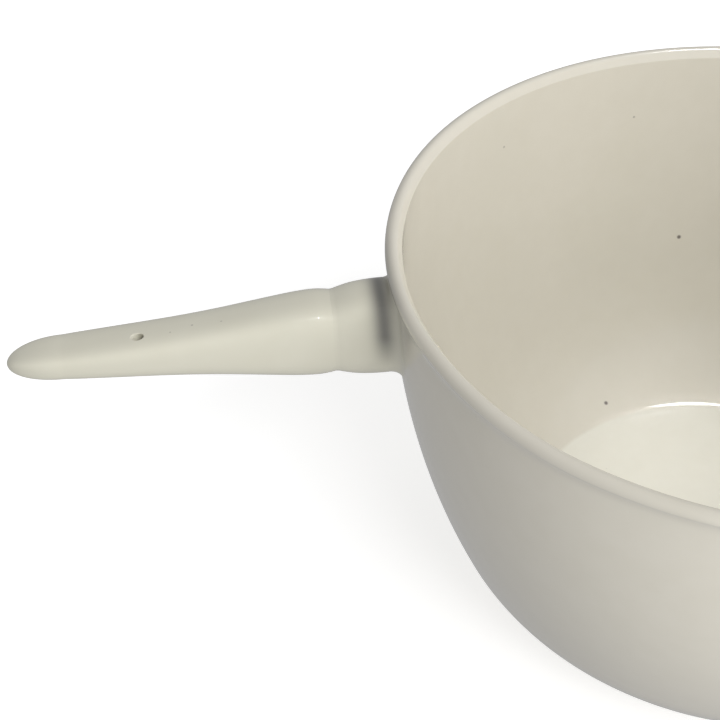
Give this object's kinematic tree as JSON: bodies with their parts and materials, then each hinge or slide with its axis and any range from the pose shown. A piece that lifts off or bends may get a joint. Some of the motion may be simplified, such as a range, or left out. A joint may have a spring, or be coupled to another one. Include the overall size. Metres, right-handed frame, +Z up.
{
  "type": "evaporating dish",
  "caption": "Deep round glazed porcelain evaporating dish with a rounded rim, a flat foot and one hollow flat-topped side handle.",
  "frame": {"origin": "centre of the foot, on the surface that the dish stands on", "axes": "+Z up along the bowl's axis; the handle runs along -X; Y is across"},
  "size_m": [0.2207, 0.15, 0.0822],
  "materials": {
    "bowl_glaze": "gloss",
    "handle_glaze": "gloss",
    "slip_glaze": "gloss"
  },
  "bodies": {
    "root": {"bowl": "bowl_glaze", "handle_stub": "handle_glaze", "root_slip_fillet": "slip_glaze", "waist_slip_seam": "slip_glaze", "handle": "handle_glaze"}
  },
  "joints": []
}
